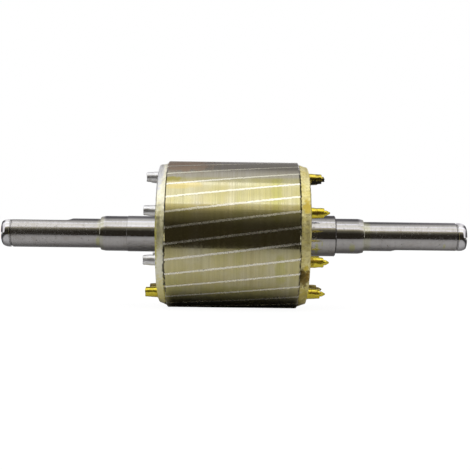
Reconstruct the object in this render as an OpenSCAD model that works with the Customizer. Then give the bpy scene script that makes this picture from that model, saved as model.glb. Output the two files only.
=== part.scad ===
// Squirrel-cage rotor of a motor with a shaft end on both sides.
// The shaft lies along X with its middle at the origin, and Z points up.
// A laminated core is shrunk onto the shaft, skewed bars are cast into its slots, and a cast
// ring with balance pegs closes the bars at each end. All sizes are in millimetres.

/* [Shaft] */
// Length of the shaft over both ends
shaft_length = 397; // [385:1:445]
// Diameter of the plain shaft ends
end_dia = 25; // [20:0.5:26]
// Length of the left end, from its tip to the bearing seat
left_end_length = 84.5; // [70:0.5:92]
// Length of the right end, from its tip to the bearing seat
right_end_length = 88; // [70:0.5:92]
// Length of the rounded nose at each tip
nose_length = 6; // [2:0.5:7]
// How far the rounded nose draws in towards the axis
nose_depth = 3; // [1:0.5:4]
// Diameter of the centre hole at the end face
centre_dia = 8; // [5:0.5:10]
// Diameter of the pilot drilled behind the centre hole
centre_pilot_dia = 3; // [2:0.5:4]
// Depth of that pilot from the end face
centre_pilot_depth = 10; // [9:0.5:14]

/* [Bearing seats] */
// Diameter of both bearing seats
seat_dia = 30; // [28:0.5:32]
// Length of the left bearing seat
left_seat_length = 23; // [16:0.5:26]
// Length of the right bearing seat
right_seat_length = 24; // [16:0.5:26]
// Length of the lead-in taper at the outer edge of a seat
lead_length = 4; // [1:0.5:6]
// Height of that taper
lead_depth = 0.8; // [0.3:0.1:0.9]
// Height of the step from the left seat up to the plain neck
neck_rise = 0.3; // [0.2:0.1:0.8]
// Height of the collar above the seat of the core
collar_rise = 0.5; // [0.3:0.1:2]
// Chamfer on the outer edge of the collar
collar_chamfer = 0.6; // [0.2:0.1:1]

/* [Keyways and circlip grooves] */
// Width of the keyway in the left end
left_key_width = 12; // [8:0.5:13]
// Width of the keyway in the right end
right_key_width = 10; // [6:0.5:11]
// Depth of the keyway below the top of the shaft end
key_depth = 5; // [3:0.5:6]
// Plain length between a bearing seat and the closed end of its keyway
key_gap = 24; // [15:0.5:40]
// Distance from the tip to the middle of the circlip groove
groove_place = 8.2; // [8:0.1:14]
// Width of the circlip groove
groove_width = 1.6; // [1.2:0.1:2]
// Depth of the circlip groove
groove_depth = 0.8; // [0.4:0.1:1.2]

/* [Laminated core] */
// Outside diameter of the core
core_dia = 125; // [122:1:140]
// Length of the stack of laminations
core_length = 110; // [90:1:125]
// Distance of the middle of the core from the middle of the shaft
core_offset = -1.2; // [-5:0.1:5]
// Bore of the core and diameter of its seat on the shaft
bore_dia = 34; // [33:0.5:42]
// How far the seat of the core runs past the core on the left
core_seat_overhang = 2; // [1:0.5:6]
// Chamfer on both outer edges of the core and on its seat
core_chamfer = 0.8; // [0.4:0.1:1]

/* [Cage bars] */
// Number of bars and of the slots that hold them
bar_count = 30; // [24:1:34]
// Turn of a bar about the shaft from one end of the core to the other, in degrees
skew_angle = 13.5; // [6:0.5:18]
// Angle of the first bar above the front, at the middle of the core, in degrees
bar_start = -0.6; // [-6:0.1:6]
// Width of a bar where it shows at the surface
mouth_width = 1.7; // [1.2:0.1:2.5]
// Depth of the narrow mouth of a slot
mouth_depth = 1.2; // [0.8:0.1:2]
// Widest part of a bar, below the mouth
bar_width = 6; // [4:0.5:7]
// Width of the foot of a bar
foot_width = 3; // [2:0.5:4]
// Depth of a slot below the surface of the core
slot_depth = 20.5; // [14:0.5:21.5]

/* [End rings] */
// Thickness of the left ring
left_ring_thickness = 7.5; // [6:0.1:14]
// Thickness of the right ring
right_ring_thickness = 8.5; // [6:0.1:14]
// Height of the step from the core down to the rings
ring_step = 1.6; // [1:0.1:3]
// Width of the rings from their bore to their outer wall, against the core
ring_width = 21.9; // [21.3:0.1:26]
// Draft of the inner and outer ring walls over their length
ring_draft = 1.2; // [0.4:0.1:1.5]
// Radius of the outer edge of a ring
ring_outer_edge = 4; // [2:0.5:5]
// Radius of the inner edge of a ring
ring_inner_edge = 2.5; // [1:0.5:4]

/* [Balance pegs] */
// Number of pegs on each ring
peg_count = 8; // [4:1:12]
// Angle of the first left peg above the front, in degrees
left_peg_start = 21; // [0:0.5:45]
// Angle of the first right peg above the front, in degrees
right_peg_start = 20.5; // [0:0.5:45]
// Distance from the surface of the core in to the middle of the pegs
peg_inset = 10.4; // [10:0.1:12]
// Diameter of a peg at its root
peg_dia = 8.8; // [5:0.1:9.2]
// Loss of diameter from the root of a peg to its end
peg_taper = 0.8; // [0.2:0.1:1.2]
// Chamfer round the end of a peg
peg_chamfer = 0.4; // [0.2:0.1:0.6]
// Length of the left pegs
left_peg_length = 10; // [5:0.5:14]
// Length of the right pegs up to their tips
right_peg_length = 10.5; // [5:0.5:14]
// Diameter of the tip that stands on a right peg
tip_dia = 4.4; // [2:0.1:5]
// Length of that tip
tip_length = 4.6; // [3.5:0.1:6]
// Length of the point that ends the tip
tip_point = 2.8; // [1:0.1:3.2]
// Diameter of the blunt end of the point
tip_end_dia = 1.2; // [0.6:0.1:1.8]

/* [Hidden] */
// Steps that split a quarter-round edge, and lengthwise steps that follow the skew of a bar
arc_steps = 6;
skew_steps = 5;
// Further points that the skew adds along an edge of the slot outline: none
edge_splits = 0;
// How far a cutter runs past the surface that it opens
overrun = 1;
// Full angle of a centre hole
centre_angle = 60;
$fn = 96;

end_r = end_dia / 2;
seat_r = seat_dia / 2;
neck_r = seat_r + neck_rise;
bore_r = bore_dia / 2;
collar_r = bore_r + collar_rise;
core_r = core_dia / 2;

left_tip = -shaft_length / 2;
right_tip = shaft_length / 2;
left_seat_outer = left_tip + left_end_length;
left_seat_inner = left_seat_outer + left_seat_length;
right_seat_outer = right_tip - right_end_length;
right_seat_inner = right_seat_outer - right_seat_length;
core_left = core_offset - core_length / 2;
core_right = core_offset + core_length / 2;
core_seat_left = core_left - core_seat_overhang;

ring_outer_r = core_r - ring_step;
ring_bore_r = ring_outer_r - ring_width;
peg_circle_r = core_r - peg_inset;
peg_end_r = (peg_dia - peg_taper) / 2;
bar_pitch = 360 / bar_count;
peg_pitch = 360 / peg_count;

function bar_name(i) = str("rotor_bar_", i < 10 ? "0" : "", i);

function reversed(points) = [for (i = [len(points) - 1:-1:0]) points[i]];

// Points of an arc, given by its centre, radius and first and last angle
function arc(centre, radius, first, last) = [
    for (k = [0:arc_steps])
        let (angle = first + (last - first) * k / arc_steps)
            centre + radius * [cos(angle), sin(angle)]
];

// Stands a shape that was made about Z along the shaft
module along_shaft() {
    rotate([0, 90, 0]) children();
}

// Turns a shape about the shaft to an angle above the front, before it is stood along the shaft
module at_angle(above_front) {
    rotate([0, 0, -90 - above_front]) children();
}

// Circlip groove of a plain end, measured from the seat of that end
function groove_points(length) =
    let (
        low = length - groove_place - groove_width / 2,
        high = length - groove_place + groove_width / 2,
        floor_r = end_r - groove_depth
    )
    [[end_r, low], [floor_r, low], [floor_r, high], [end_r, high]];

// Quarter ellipse from the full diameter of a plain end to its end face
function nose_points(length) = [
    for (k = [0:arc_steps])
        let (angle = 90 * k / arc_steps) [
            end_r - nose_depth * (1 - cos(angle)),
            length - nose_length * (1 - sin(angle))
        ]
];

left_seat_points = [
    [0, left_seat_outer],
    [seat_r - lead_depth, left_seat_outer],
    [seat_r, left_seat_outer + lead_length],
    [seat_r, left_seat_inner],
    [neck_r, left_seat_inner]
];

core_seat_points = [
    [neck_r, core_seat_left],
    [bore_r - core_chamfer, core_seat_left],
    [bore_r, core_seat_left + core_chamfer],
    [bore_r, core_right],
    [collar_r, core_right]
];

right_seat_points = [
    [collar_r, right_seat_inner - collar_chamfer],
    [collar_r - collar_chamfer, right_seat_inner],
    [seat_r, right_seat_inner],
    [seat_r, right_seat_outer - lead_length],
    [seat_r - lead_depth, right_seat_outer],
    [0, right_seat_outer]
];

// Keyway with a round closed end, open at the tip of a plain end of this length
module keyway(length, width) {
    closed_z = key_gap + width / 2;
    translate([end_r - key_depth, 0, closed_z]) {
        translate([0, -width / 2, 0])
            cube([key_depth + overrun, width, length + overrun - closed_z]);
        rotate([0, 90, 0])
            cylinder(d = width, h = key_depth + overrun);
    }
}

// Turning centre in the end face of a plain end: a cone with a pilot behind it
module centre_hole(length) {
    cone_slope = tan(centre_angle / 2);
    cone_depth = centre_dia / 2 / cone_slope;
    mouth_r = centre_dia / 2 + overrun * cone_slope;
    translate([0, 0, length - cone_depth])
        cylinder(r1 = 0, r2 = mouth_r, h = cone_depth + overrun);
    translate([0, 0, length - centre_pilot_depth])
        cylinder(d = centre_pilot_dia, h = centre_pilot_depth);
}

// Plain end that rises from its seat, where z = 0, with its keyway on the +X side
module shaft_end(length, key_width) {
    difference() {
        rotate_extrude() polygon(concat(
            [[0, -overrun], [end_r, -overrun]],
            groove_points(length),
            nose_points(length),
            [[0, length]]
        ));
        keyway(length, key_width);
        centre_hole(length);
    }
}

// Turned shaft. The keyway is in the top of the left end and half a turn away on the right.
module shaft() {
    color([0.66, 0.65, 0.63])
        union() {
            along_shaft() rotate_extrude()
                polygon(concat(left_seat_points, core_seat_points, right_seat_points));
            translate([left_seat_outer, 0, 0]) rotate([0, -90, 0])
                shaft_end(left_end_length, left_key_width);
            translate([right_seat_outer, 0, 0]) rotate([0, 90, 0])
                shaft_end(right_end_length, right_key_width);
        }
}

// Full cylinder of the core with both outer edges broken
module core_envelope() {
    rotate_extrude() polygon([
        [0, core_left],
        [core_r - core_chamfer, core_left],
        [core_r, core_left + core_chamfer],
        [core_r, core_right - core_chamfer],
        [core_r - core_chamfer, core_right],
        [0, core_right]
    ]);
}

// One side of a slot: a narrow mouth, a round head and a taper down to a round foot
function slot_side() =
    let (
        head_r = bar_width / 2,
        foot_r = foot_width / 2,
        mouth_angle = asin(mouth_width / bar_width),
        head_x = core_r - mouth_depth - head_r * cos(mouth_angle),
        foot_x = core_r - slot_depth + foot_r,
        head_steps = 3,
        foot_steps = 2
    )
    concat(
        [[core_r + overrun, mouth_width / 2]],
        [for (k = [0:head_steps])
            let (angle = mouth_angle + (90 - mouth_angle) * k / head_steps)
                [head_x + head_r * cos(angle), head_r * sin(angle)]],
        [for (k = [0:foot_steps - 1])
            let (angle = 90 + 90 * k / foot_steps)
                [foot_x + foot_r * cos(angle), foot_r * sin(angle)]]
    );

module slot_profile() {
    side = slot_side();
    tail = [[core_r - slot_depth, 0]];
    polygon(concat(side, tail, reversed([for (p = side) [p.x, -p.y]])));
}

// Skewed slot number i, run past both end faces and the surface of the core
module slot(i) {
    length = core_length + 2 * overrun;
    turn = skew_angle * length / core_length;
    at_angle(bar_start + (i - 1) * bar_pitch)
        translate([0, 0, core_offset - length / 2])
            rotate([0, 0, turn / 2])
                linear_extrude(
                    height = length, twist = turn, slices = skew_steps, segments = edge_splits
                ) slot_profile();
}

module laminated_core() {
    color([0.62, 0.57, 0.42])
        along_shaft() difference() {
            core_envelope();
            translate([0, 0, core_left - overrun])
                cylinder(d = bore_dia, h = core_length + 2 * overrun);
            for (i = [1:bar_count]) slot(i);
        }
}

// A bar fills its slot and is turned flush with the core
module rotor_bar(i) {
    color([0.82, 0.80, 0.72])
        along_shaft() intersection() {
            slot(i);
            core_envelope();
        }
}

// Cast ring with drafted walls and rounded edges, standing on the plane z = 0
module end_ring(thickness) {
    outer_x = ring_outer_r - ring_draft - ring_outer_edge;
    inner_x = ring_bore_r + ring_draft + ring_inner_edge;
    rotate_extrude() polygon(concat(
        [[ring_bore_r, 0], [ring_outer_r, 0]],
        arc([outer_x, thickness - ring_outer_edge], ring_outer_edge, 0, 90),
        arc([inner_x, thickness - ring_inner_edge], ring_inner_edge, 90, 180)
    ));
}

module left_end_ring() {
    color([0.78, 0.76, 0.66])
        along_shaft() translate([0, 0, core_left]) mirror([0, 0, 1])
            end_ring(left_ring_thickness);
}

module right_end_ring() {
    color([0.74, 0.68, 0.44])
        along_shaft() translate([0, 0, core_right])
            end_ring(right_ring_thickness);
}

function peg_points(length) = [
    [0, 0],
    [peg_dia / 2, 0],
    [peg_end_r, length - peg_chamfer],
    [peg_end_r - peg_chamfer, length]
];

module plain_peg(length) {
    rotate_extrude() polygon(concat(peg_points(length), [[0, length]]));
}

// Peg with a narrow pointed tip on its end
module tipped_peg(length) {
    end = length + tip_length;
    rotate_extrude() polygon(concat(peg_points(length), [
        [tip_dia / 2, length],
        [tip_dia / 2, end - tip_point],
        [tip_end_dia / 2, end],
        [0, end]
    ]));
}

// Repeats a peg round a ring, from this angle above the front
module round_ring(start) {
    for (k = [0:peg_count - 1])
        at_angle(start + k * peg_pitch)
            translate([peg_circle_r, 0, 0]) children();
}

module left_balance_pegs() {
    color([0.68, 0.66, 0.58])
        along_shaft() translate([0, 0, core_left - left_ring_thickness]) mirror([0, 0, 1])
            round_ring(left_peg_start) plain_peg(left_peg_length);
}

module right_balance_pegs() {
    color([0.72, 0.62, 0.26])
        along_shaft() translate([0, 0, core_right + right_ring_thickness])
            round_ring(right_peg_start) tipped_peg(right_peg_length);
}

shaft();
laminated_core();
left_end_ring();
right_end_ring();
left_balance_pegs();
right_balance_pegs();
for (i = [1:bar_count])
    rotor_bar(i);
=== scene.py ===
"""Looks of a squirrel-cage motor rotor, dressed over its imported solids.

The shaft runs along X with its middle at the origin, Z points up and the front faces -Y.
Sizes are in metres. Angles about the shaft are measured in radians above the front.
"""

import logging
from dataclasses import dataclass
from enum import Enum
from functools import cached_property
from typing import Union

import bmesh
import bpy
import numpy as np
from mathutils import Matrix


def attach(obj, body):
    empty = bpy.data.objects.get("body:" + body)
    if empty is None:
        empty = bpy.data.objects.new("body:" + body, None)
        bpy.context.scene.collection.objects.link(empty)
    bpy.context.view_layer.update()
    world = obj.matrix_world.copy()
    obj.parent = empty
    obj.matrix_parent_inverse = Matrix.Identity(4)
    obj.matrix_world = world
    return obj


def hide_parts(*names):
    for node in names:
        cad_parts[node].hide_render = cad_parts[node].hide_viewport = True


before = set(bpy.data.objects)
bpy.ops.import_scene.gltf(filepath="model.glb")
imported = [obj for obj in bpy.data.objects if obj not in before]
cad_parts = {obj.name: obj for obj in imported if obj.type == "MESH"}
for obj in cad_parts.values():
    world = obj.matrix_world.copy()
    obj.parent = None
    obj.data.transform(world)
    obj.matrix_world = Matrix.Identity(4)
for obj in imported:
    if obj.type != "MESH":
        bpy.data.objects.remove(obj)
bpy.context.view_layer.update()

LOG = logging.getLogger("rotor")
MM = 0.001
BODY = "root"
MERGE = 2e-6
TURN = 2 * np.pi
PIXELS = 470
SENSOR = 36.0

Array = np.ndarray
Material = bpy.types.Material
Socket = bpy.types.NodeSocket
Colour = tuple[float, float, float]
Span = tuple[float, float]
Given = Union[Socket, float, tuple]


class Slot(Enum):
    """Material slots of the record; some builders are handed one but don't read it."""

    SHAFT = "shaft_steel"
    CORE = "core_steel"
    BAR = "bar_aluminium"
    CAST = "cast_aluminium"
    VARNISHED = "varnished_aluminium"


class Side(Enum):
    """The two ends of the rotor, with the direction in which each one faces along X."""

    LEFT = -1
    RIGHT = 1


# ---------------------------------------------------------------- surfaces


def grid_faces(rows: int, columns: int, closed_rows: bool = False) -> Array:
    """Quads of a grid whose columns close on themselves.

    Args:
        rows: Number of grid rows.
        columns: Number of points in a row; the last one joins the first.
        closed_rows: Whether the last row joins the first as well.

    Returns:
        Point numbers, four to a face.
    """
    i = np.arange(rows if closed_rows else rows - 1)[:, None]
    j = np.arange(columns)[None, :]
    up, on = (i + 1) % rows, (j + 1) % columns
    corners = [i * columns + j, i * columns + on, up * columns + on, up * columns + j]
    return np.stack(np.broadcast_arrays(*corners), -1).reshape(-1, 4)


def about_shaft(x: Array, radius: Array, angle: Array) -> Array:
    """Points about the shaft: x as it is, y = -radius cos(angle), z = radius sin(angle)."""
    x, radius, angle = np.broadcast_arrays(x, radius, angle)
    return np.stack([x, -radius * np.cos(angle), radius * np.sin(angle)], -1)


def eased_corners(points: Array, reach: Array, steps: int = 5) -> Array:
    """Profile with its corners eased.

    Each corner gives way to the quadratic curve that has the corner as its middle handle and
    starts and ends `reach` away from it, or 0.45 of the shorter neighbour if that is less.

    Args:
        points: Profile points, one row each.
        reach: How far each corner is eased; the first and last points stay.
        steps: Points on each curve.

    Returns:
        The eased profile.
    """
    corner = points[1:-1]
    back, on = points[:-2] - corner, points[2:] - corner
    back_length = np.linalg.norm(back, axis=1, keepdims=True)
    on_length = np.linalg.norm(on, axis=1, keepdims=True)
    cut = np.minimum(reach[1:-1, None], 0.45 * np.minimum(back_length, on_length))
    start, end = corner + back / back_length * cut, corner + on / on_length * cut
    t = np.linspace(0, 1, steps)[None, :, None]
    curve = (1 - t) ** 2 * start[:, None] + 2 * t * (1 - t) * corner[:, None] + t**2 * end[:, None]
    return np.concatenate([points[:1], curve.reshape(-1, 2), points[-1:]])


def even_steps(points: Array, count: int) -> Array:
    """Points at even distances along a profile, by its length along the line.

    Args:
        points: Profile points, one row each.
        count: Number of points wanted.

    Returns:
        The profile with that many points.
    """
    walked = np.concatenate([[0], np.cumsum(np.linalg.norm(np.diff(points, axis=0), axis=1))])
    at = np.linspace(0, walked[-1], count)
    return np.stack([np.interp(at, walked, column) for column in points.T], -1)


def mottle(angle: Array, along: Array, finest: int, seed: int) -> Array:
    """Unevenness that closes round the shaft.

    It is a sum of plane waves cos(order x angle + slope x along + phase), with whole orders
    round the shaft and random slopes along it, scaled to a spread of about one.

    Args:
        angle: Angle about the axis.
        along: Distance along the surface, in radii.
        finest: Highest order of the waves.
        seed: Seed of the random numbers.

    Returns:
        One value for each pair of angle and distance.
    """
    rng = np.random.default_rng(seed)
    waves = 40
    order = rng.integers(1, finest + 1, waves)
    slope = rng.normal(0, finest / 2, waves)
    phase = rng.uniform(0, TURN, waves)
    angle, along = np.broadcast_arrays(angle, along)
    return np.cos(angle[..., None] * order + along[..., None] * slope + phase).sum(-1) * np.sqrt(2 / waves)


def bell(value: Array, middle: float, width: float) -> Array:
    """Smooth bump of height one: exp(-((value - middle) / width) squared)."""
    return np.exp(-(((value - middle) / width) ** 2))


def add_piece(
    name: str,
    points: Array,
    finish: Material,
    node: str,
    crease: float = 32.0,
    closed_rows: bool = False,
) -> None:
    """Adds a piece that stands for a solid: a grid with merged seams and poles and outward faces.

    Args:
        name: Name of the piece.
        points: Vertex positions on the grid, the last axis being x, y and z.
        finish: Its material.
        node: Solid that the piece stands for.
        crease: Angle in degrees from which an edge is sharp.
        closed_rows: Whether the last row of the grid joins the first.
    """
    mesh = bpy.data.meshes.new(name)
    faces = grid_faces(*points.shape[:2], closed_rows)
    mesh.from_pydata(points.reshape(-1, 3).tolist(), [], faces.tolist())
    work = bmesh.new()
    work.from_mesh(mesh)
    bmesh.ops.remove_doubles(work, verts=work.verts, dist=MERGE)
    bmesh.ops.recalc_face_normals(work, faces=work.faces)
    work.to_mesh(mesh)
    work.free()
    mesh.shade_smooth()
    mesh.set_sharp_from_angle(angle=np.radians(crease))
    mesh.materials.append(finish)
    piece = bpy.data.objects.new(name, mesh)
    bpy.context.scene.collection.objects.link(piece)
    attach(piece, BODY)
    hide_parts(node)
    LOG.info("%s stands for %s, %d faces", name, node, len(mesh.polygons))


# ---------------------------------------------------------------- shader nodes


class NodeSheet:
    """Node tree of a material, group or world, with short calls for the nodes used here."""

    def __init__(self, tree: bpy.types.NodeTree) -> None:
        """Takes the tree to draw in."""
        self.tree = tree

    def feed(self, socket: Socket, given: Given) -> None:
        """Links or sets a socket.

        Args:
            socket: Input to feed.
            given: Another socket, a number, a colour or a vector.
        """
        if isinstance(given, Socket):
            self.tree.links.new(given, socket)
        elif socket.type == "RGBA":
            socket.default_value = (*given[:3], 1.0)
        else:
            socket.default_value = given

    def node(self, kind: str, inputs: dict, **settings: object) -> bpy.types.Node:
        """Adds a node.

        Args:
            kind: Node type.
            inputs: Values or sockets by input name or number.
            **settings: Properties of the node.

        Returns:
            The new node.
        """
        made = self.tree.nodes.new(kind)
        for key, value in settings.items():
            setattr(made, key, value)
        for key, given in inputs.items():
            self.feed(made.inputs[key], given)
        return made

    def maths(self, operation: str, first: Given, second: Given = 0.0) -> Socket:
        """Result of one operation on two numbers."""
        return self.node("ShaderNodeMath", {0: first, 1: second}, operation=operation).outputs[0]

    def vector(self, operation: str, first: Given, second: Given) -> Socket:
        """Result of one operation on two vectors."""
        return self.node("ShaderNodeVectorMath", {0: first, 1: second}, operation=operation).outputs[0]

    def ease(self, value: Given, low: float, high: float, floor: Given = 0.0, top: Given = 1.0) -> Socket:
        """Smooth step of a value from `floor` at `low` to `top` at `high`.

        Args:
            value: Number to read.
            low: Where the step starts.
            high: Where it ends.
            floor: Result before the step.
            top: Result after it.

        Returns:
            Socket with the result.
        """
        inputs = {"Value": value, "From Min": low, "From Max": high, "To Min": floor, "To Max": top}
        return self.node("ShaderNodeMapRange", inputs, interpolation_type="SMOOTHSTEP").outputs[0]

    def stepped(self, value: Given, first: Given, steps: tuple) -> Given:
        """Smooth steps in turn: `first` to begin with, then each step's own result past its end.

        Args:
            value: Number to read.
            first: Result before the first step.
            steps: Start and end of each step, and the result after it.

        Returns:
            Socket with the result.
        """
        for low, high, after in steps:
            first = self.ease(value, low, high, first, after)
        return first

    def blend(self, factor: Given, first: Given, second: Given) -> Socket:
        """Colour between two colours.

        Args:
            factor: Share of the second colour.
            first: First colour.
            second: Second colour.

        Returns:
            Socket with the colour.
        """
        mix = self.node("ShaderNodeMix", {}, data_type="RGBA", clamp_factor=True)
        for key, given in ((0, factor), (6, first), (7, second)):
            self.feed(mix.inputs[key], given)
        return mix.outputs[2]

    def noise(self, vector: Given, scale: Given, detail: float = 3.0) -> Socket:
        """Cloudy noise from zero to one."""
        inputs = {"Vector": vector, "Scale": scale, "Detail": detail, "Roughness": 0.55}
        return self.node("ShaderNodeTexNoise", inputs).outputs[0]

    def effect(self, group: bpy.types.NodeTree, output: str, **inputs: Given) -> Socket:
        """Output of a shared effect.

        Args:
            group: Node group of the effect.
            output: Name of the output.
            **inputs: Values by input name.

        Returns:
            Socket of that output.
        """
        made = self.node("ShaderNodeGroup", {}, node_tree=group)
        for name, given in inputs.items():
            self.feed(made.inputs[name], given)
        return made.outputs[output]

    def coordinates(self) -> Socket:
        """Object coordinates of the piece."""
        return self.node("ShaderNodeTexCoord", {}).outputs["Object"]


class Effects:
    """Effects that several finishes share, each one a node group that is built once."""

    @staticmethod
    def blank(name: str, inputs: dict, outputs: tuple) -> tuple[NodeSheet, dict, dict]:
        """Starts a node group.

        Args:
            name: Name of the group.
            inputs: Default values by input name; three numbers make a vector.
            outputs: Names of the outputs, which are numbers.

        Returns:
            The sheet to draw in, the group's inputs and its outputs by name.
        """
        tree = bpy.data.node_groups.new(name, "ShaderNodeTree")
        for key, value in inputs.items():
            kind = "NodeSocketVector" if isinstance(value, tuple) else "NodeSocketFloat"
            tree.interface.new_socket(name=key, in_out="INPUT", socket_type=kind).default_value = value
        for key in outputs:
            tree.interface.new_socket(name=key, in_out="OUTPUT", socket_type="NodeSocketFloat")
        sheet = NodeSheet(tree)
        source = sheet.node("NodeGroupInput", {})
        sink = sheet.node("NodeGroupOutput", {})
        return sheet, {k: source.outputs[k] for k in inputs}, {k: sink.inputs[k] for k in outputs}

    @cached_property
    def streaks(self) -> bpy.types.NodeTree:
        """Rings round the shaft: noise that is drawn out round it and runs through Lines a metre."""
        sheet, given, out = self.blank(
            "ring_streaks", {"At": (0.0, 0.0, 0.0), "Lines": 1000.0, "Sway": 10.0}, ("Mask",)
        )
        factors = sheet.node("ShaderNodeCombineXYZ", {0: given["Lines"], 1: given["Sway"], 2: given["Sway"]})
        cloud = sheet.noise(sheet.vector("MULTIPLY", given["At"], factors.outputs[0]), 1.0)
        sheet.feed(out["Mask"], sheet.ease(cloud, 0.3, 0.7))
        return sheet.tree

    @cached_property
    def ragged_patch(self) -> bpy.types.NodeTree:
        """Ragged patch round Middle: distance in units of Reach, roughened by noise of scale Grain."""
        sheet, given, out = self.blank(
            "ragged_patch",
            {
                "At": (0.0, 0.0, 0.0),
                "Middle": (0.0, 0.0, 0.0),
                "Reach": (0.01, 0.01, 0.01),
                "Grain": 300.0,
                "Ragged": 1.2,
            },
            ("Mask",),
        )
        offset = sheet.vector("DIVIDE", sheet.vector("SUBTRACT", given["At"], given["Middle"]), given["Reach"])
        length = sheet.node("ShaderNodeVectorMath", {0: offset}, operation="LENGTH").outputs["Value"]
        cloud = sheet.maths("SUBTRACT", sheet.noise(given["At"], given["Grain"], detail=4.0), 0.5)
        edge = sheet.maths("ADD", length, sheet.maths("MULTIPLY", cloud, given["Ragged"]))
        sheet.feed(out["Mask"], sheet.ease(edge, 1.0, 0.45))
        return sheet.tree

    @cached_property
    def patches(self) -> bpy.types.NodeTree:
        """Cloudy patches where noise of scale Grain passes from Low to High."""
        sheet, given, out = self.blank(
            "patches", {"At": (0.0, 0.0, 0.0), "Grain": 60.0, "Low": 0.45, "High": 0.65}, ("Mask",)
        )
        cloud = sheet.noise(given["At"], given["Grain"], detail=5.0)
        inputs = {"Value": cloud, "From Min": given["Low"], "From Max": given["High"]}
        step = sheet.node("ShaderNodeMapRange", inputs, interpolation_type="SMOOTHSTEP")
        sheet.feed(out["Mask"], step.outputs[0])
        return sheet.tree

    @cached_property
    def cast_skin(self) -> bpy.types.NodeTree:
        """Skin of a casting: rolling waves with fine grain, and round pits between cell middles."""
        sheet, given, out = self.blank("cast_skin", {"At": (0.0, 0.0, 0.0), "Grain": 400.0}, ("Height", "Pits"))
        waves = sheet.noise(given["At"], given["Grain"], detail=6.0)
        cells = sheet.node("ShaderNodeTexVoronoi", {"Vector": given["At"], "Scale": given["Grain"]})
        pits = sheet.ease(sheet.maths("ADD", cells.outputs["Distance"], waves), 0.42, 0.6)
        sheet.feed(out["Pits"], sheet.maths("SUBTRACT", 1.0, pits))
        sheet.feed(out["Height"], sheet.maths("MULTIPLY", waves, pits))
        return sheet.tree


class MaterialSheet(NodeSheet):
    """Sheet of one material: its shader, the place on the piece and the shared effects."""

    def __init__(self, name: str, effects: Effects) -> None:
        """Starts a material.

        Args:
            name: Name of the material.
            effects: The shared effects.
        """
        self.material = bpy.data.materials.new(name)
        self.material.use_nodes = True
        super().__init__(self.material.node_tree)
        self.shader = self.tree.nodes["Principled BSDF"]
        self.effects = effects
        self.at = self.coordinates()
        self.along, self.across, self.height = self.node("ShaderNodeSeparateXYZ", {0: self.at}).outputs

    def streaks(self, lines: float, sway: float) -> Socket:
        """Mask of rings round the shaft."""
        return self.effect(self.effects.streaks, "Mask", At=self.at, Lines=lines, Sway=sway)

    def patches(self, grain: float, low: float, high: float) -> Socket:
        """Mask of cloudy patches."""
        return self.effect(self.effects.patches, "Mask", At=self.at, Grain=grain, Low=low, High=high)

    def ragged_patch(self, middle: tuple, reach: tuple, grain: float, ragged: float) -> Socket:
        """Mask of one ragged patch."""
        place = {"At": self.at, "Middle": middle, "Reach": reach}
        return self.effect(self.effects.ragged_patch, "Mask", **place, Grain=grain, Ragged=ragged)

    def from_axis(self) -> Socket:
        """Distance from the shaft's axis: the root of the sum of both squares."""
        squares = [self.maths("POWER", part, 2.0) for part in (self.across, self.height)]
        return self.maths("SQRT", self.maths("ADD", *squares))

    def layered(self, colour: Given, *layers: tuple) -> Given:
        """Colour with tones laid over it in turn, each by its mask times its share.

        Args:
            colour: Colour at the bottom.
            *layers: Mask, share and tone of each layer.

        Returns:
            The colour on top.
        """
        for mask, share, tone in layers:
            colour = self.blend(self.maths("MULTIPLY", mask, share), colour, tone)
        return colour

    def raised(self, value: Given, *parts: tuple) -> Given:
        """Value plus each mask times its share."""
        for mask, share in parts:
            value = self.maths("ADD", value, self.maths("MULTIPLY", mask, share))
        return value

    def relief(self, height: Given, strength: float, depth: float) -> Socket:
        """Normal of a fine relief of that depth."""
        return self.node("ShaderNodeBump", {"Height": height, "Strength": strength, "Distance": depth}).outputs[0]

    def close(self, **inputs: Given) -> Material:
        """Feeds the shader's inputs, with _ for a space in their names, and returns the material."""
        for name, given in inputs.items():
            self.feed(self.shader.inputs[name.replace("_", " ")], given)
        return self.material


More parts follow.
